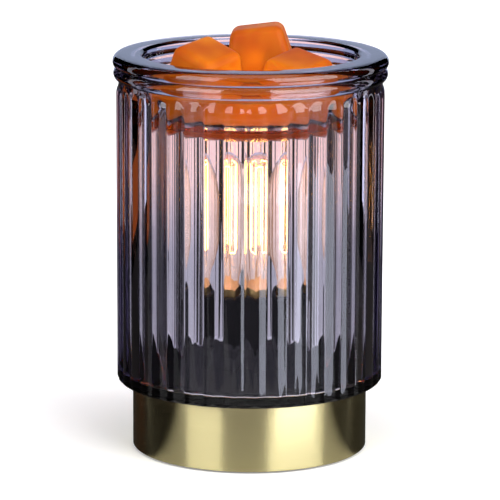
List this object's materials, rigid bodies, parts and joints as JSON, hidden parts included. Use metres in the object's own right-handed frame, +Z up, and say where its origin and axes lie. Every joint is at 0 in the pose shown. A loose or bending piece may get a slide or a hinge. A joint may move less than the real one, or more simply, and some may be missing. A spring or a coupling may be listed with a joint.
{
  "type": "wax melt warmer",
  "caption": "Electric wax melt warmer: a lift-off glass dish of wax cubes on a fluted smoked-glass shade, with a screw-in filament bulb inside and a round brass-finish base.",
  "frame": {"origin": "on the surface that the feet stand on, on the axis of the round body", "axes": "+Z up along the axis, front towards -Y, cord inlet towards +Y"},
  "size_m": [0.1172, 0.1172, 0.1807],
  "materials": {
    "brass_finish": "satin, fine brushed brass plating",
    "smoked_glass": "thick pressed glass, smoky purple-grey, glossy",
    "wax": "soft translucent orange wax",
    "clear_glass": "clear thin lamp glass",
    "filament_wire": "glowing tungsten",
    "support_wire": "drawn molybdenum wire",
    "cap_metal": "rolled lamp-cap brass",
    "black_glass": "opaque black vitrite",
    "black_moulding": "satin black moulded phenolic",
    "black_steel": "satin black paint",
    "contact_brass": "stamped spring brass",
    "zinc_steel": "zinc plated",
    "black_rubber": "matt black rubber",
    "lead_insulation": "woven white sleeving",
    "crimp_plastic": "translucent white nylon"
  },
  "bodies": {
    "base": {"base_shell": "brass_finish", "cover_posts": "zinc_steel", "bottom_cover": "black_moulding", "cover_screws": "zinc_steel", "rubber_foot_1": "black_rubber", "rubber_foot_2": "black_rubber", "rubber_foot_3": "black_rubber", "rubber_foot_4": "black_rubber", "cord_grommet": "black_rubber", "base_gasket": "black_rubber", "fluted_shade": "smoked_glass", "seat_gasket": "black_rubber", "clamp_disc": "black_steel", "threaded_nipple": "zinc_steel", "nipple_nut": "zinc_steel", "tooth_washer": "zinc_steel", "lampholder_body": "black_moulding", "screw_shell": "contact_brass", "centre_contact": "contact_brass", "holder_rivets": "contact_brass", "live_lead": "lead_insulation", "neutral_lead": "lead_insulation", "crimp_caps": "crimp_plastic"},
    "bulb_foot": {"bulb_contact": "cap_metal", "bulb_insulator": "black_glass"},
    "bulb": {"bulb_cap": "cap_metal", "bulb_glass": "clear_glass", "bulb_stem": "clear_glass", "filament": "filament_wire", "filament_supports": "support_wire", "lead_in_wires": "support_wire"},
    "dish": {"wax_dish": "smoked_glass", "wax_pool": "wax"},
    "left_cube": {"wax_cube_left": "wax"},
    "rear_cube": {"wax_cube_rear": "wax"},
    "right_cube": {"wax_cube_right": "wax"}
  },
  "joints": [
    {"name": "dish_lift", "type": "slide", "parent": "base", "child": "dish", "axis": [0, 0, 1], "range_m": [0, 0.06]},
    {"name": "left_cube_lift", "type": "slide", "parent": "dish", "child": "left_cube", "axis": [0, 0, 1], "range_m": [0, 0.04]},
    {"name": "rear_cube_lift", "type": "slide", "parent": "dish", "child": "rear_cube", "axis": [0, 0, 1], "range_m": [0, 0.04]},
    {"name": "right_cube_lift", "type": "slide", "parent": "dish", "child": "right_cube", "axis": [0, 0, 1], "range_m": [0, 0.04]},
    {"name": "bulb_rise", "type": "slide", "parent": "base", "child": "bulb_foot", "axis": [0, 0, 1], "range_m": [0, 0.01089]},
    {"name": "bulb_turn", "type": "hinge", "parent": "bulb_foot", "child": "bulb", "pos_m": [0, 0, 0.06], "axis": [0, 0, 1], "range_deg": [0, 1080]}
  ],
  "couplings": [
    {"joint": "bulb_turn", "follows": "bulb_rise", "rad_per_m": 1731.4}
  ]
}
